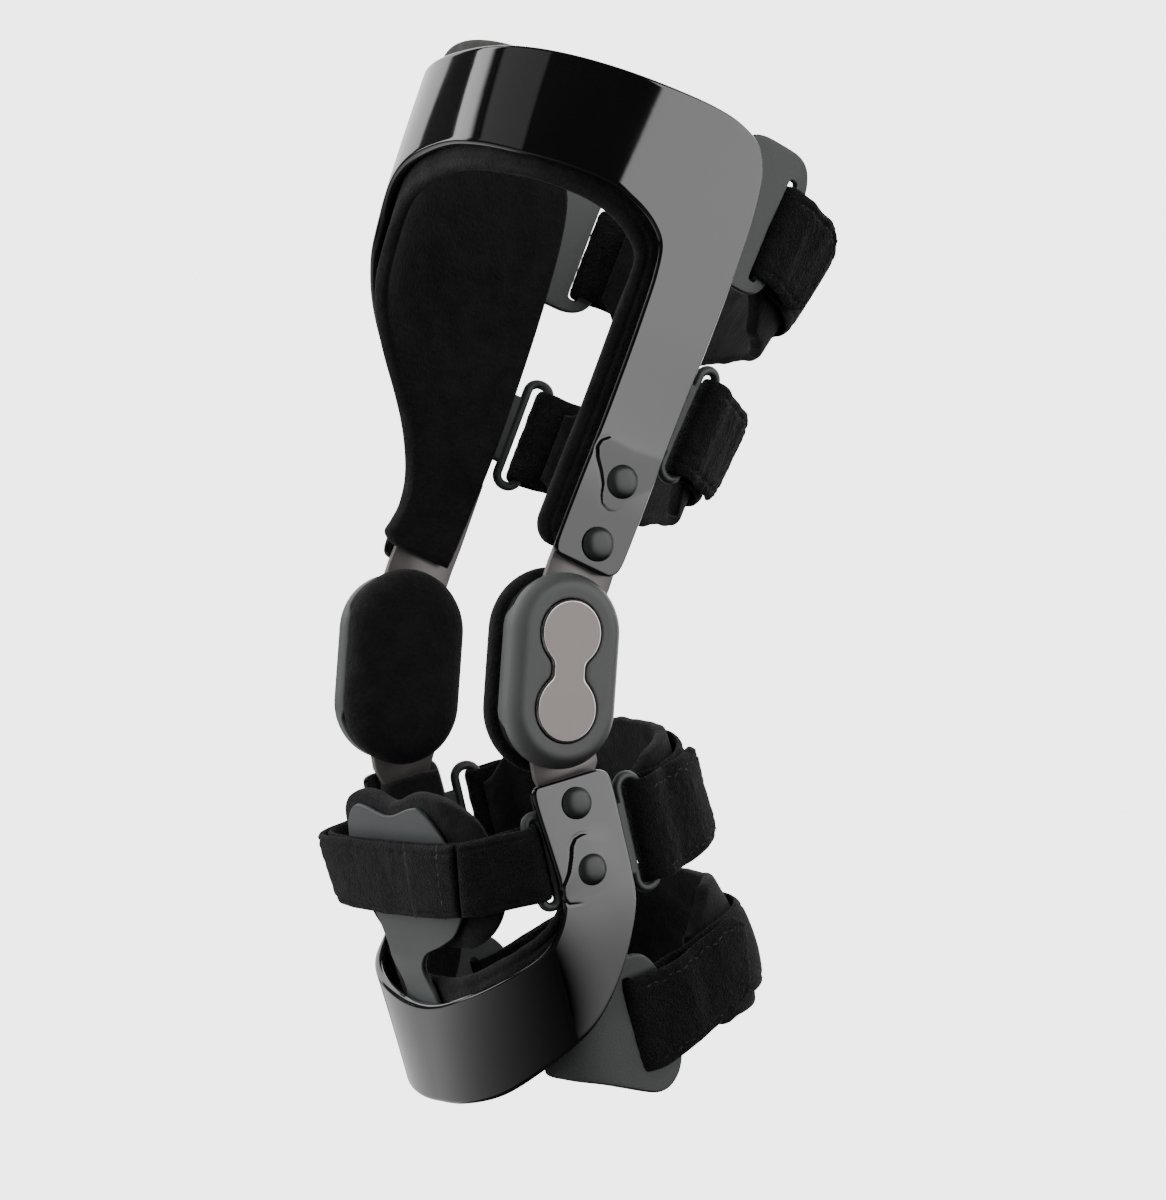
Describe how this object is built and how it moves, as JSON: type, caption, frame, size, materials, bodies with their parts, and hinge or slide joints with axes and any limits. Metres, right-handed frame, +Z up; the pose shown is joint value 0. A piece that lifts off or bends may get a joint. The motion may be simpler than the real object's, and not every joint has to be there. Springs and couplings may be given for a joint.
{
  "type": "hinged knee brace",
  "caption": "Rigid hinged knee ligament brace: glossy shells over thigh and shin, a two-pivot hinge on each side, soft straps behind the leg.",
  "frame": {"origin": "middle of the knee, halfway between the two hinges, where the brace is held on the leg", "axes": "+Z up as in the picture, -Y to the front of the leg, +X to the outer side that faces the viewer"},
  "size_m": [0.1617, 0.1823, 0.3951],
  "materials": {
    "shell": "glossy black lacquer",
    "foam": "matt foam with a knit face",
    "strap": "brushed loop fabric",
    "plastic": "satin moulded",
    "bar": "satin grey anodised",
    "cover": "satin dark grey",
    "insert": "satin, bright cut edge",
    "rivet": "satin dark grey"
  },
  "bodies": {
    "thigh_section": {"thigh_frame": "shell", "thigh_liner": "foam", "thigh_tab_lateral": "plastic", "thigh_tab_medial": "plastic", "upper_thigh_strap": "strap", "upper_thigh_pad": "foam", "thigh_loop_lateral": "plastic", "thigh_loop_medial": "plastic", "lower_thigh_strap": "strap", "lower_thigh_pad": "foam", "upper_bar_lateral": "bar", "upper_bar_medial": "bar", "thigh_rivet_1_lateral": "rivet", "thigh_rivet_1_medial": "rivet", "thigh_rivet_2_lateral": "rivet", "thigh_rivet_2_medial": "rivet"},
    "lateral_hinge": {"hinge_cover_lateral": "cover", "hinge_insert_lateral": "insert", "hinge_plate_lateral": "bar", "condyle_pad_lateral": "foam"},
    "medial_hinge": {"hinge_cover_medial": "cover", "hinge_insert_medial": "insert", "hinge_plate_medial": "bar", "condyle_pad_medial": "foam"},
    "shin_section": {"shin_frame": "shell", "shin_liner": "foam", "lower_bar_lateral": "bar", "lower_bar_medial": "bar", "shin_rivet_1_lateral": "rivet", "shin_rivet_1_medial": "rivet", "shin_rivet_2_lateral": "rivet", "shin_rivet_2_medial": "rivet", "tibial_plate": "plastic", "tibial_pad": "foam", "tibial_strap": "strap", "tibial_loop_lateral": "plastic", "tibial_loop_medial": "plastic", "calf_loop_lateral": "plastic", "calf_loop_medial": "plastic", "upper_calf_strap": "strap", "upper_calf_pad": "foam", "calf_tab_lateral": "plastic", "calf_tab_medial": "plastic", "lower_calf_strap": "strap", "lower_calf_pad": "foam"}
  },
  "joints": [
    {"name": "lateral_upper_pivot", "type": "hinge", "parent": "thigh_section", "child": "lateral_hinge", "pos_m": [0.067, 0.00108, 0.01376], "axis": [1, 0, 0], "range_deg": [-19, 26]},
    {"name": "lateral_lower_pivot", "type": "hinge", "parent": "lateral_hinge", "child": "shin_section", "pos_m": [0.067, -0.00108, -0.01376], "axis": [1, 0, 0], "range_deg": [-19, 26]},
    {"name": "medial_upper_pivot", "type": "hinge", "parent": "thigh_section", "child": "medial_hinge", "pos_m": [-0.067, 0.00108, 0.01376], "axis": [1, 0, 0], "range_deg": [-19, 26]}
  ],
  "couplings": [
    {"joint": "lateral_lower_pivot", "follows": "lateral_upper_pivot", "ratio": 1},
    {"joint": "medial_upper_pivot", "follows": "lateral_upper_pivot", "ratio": 1}
  ]
}
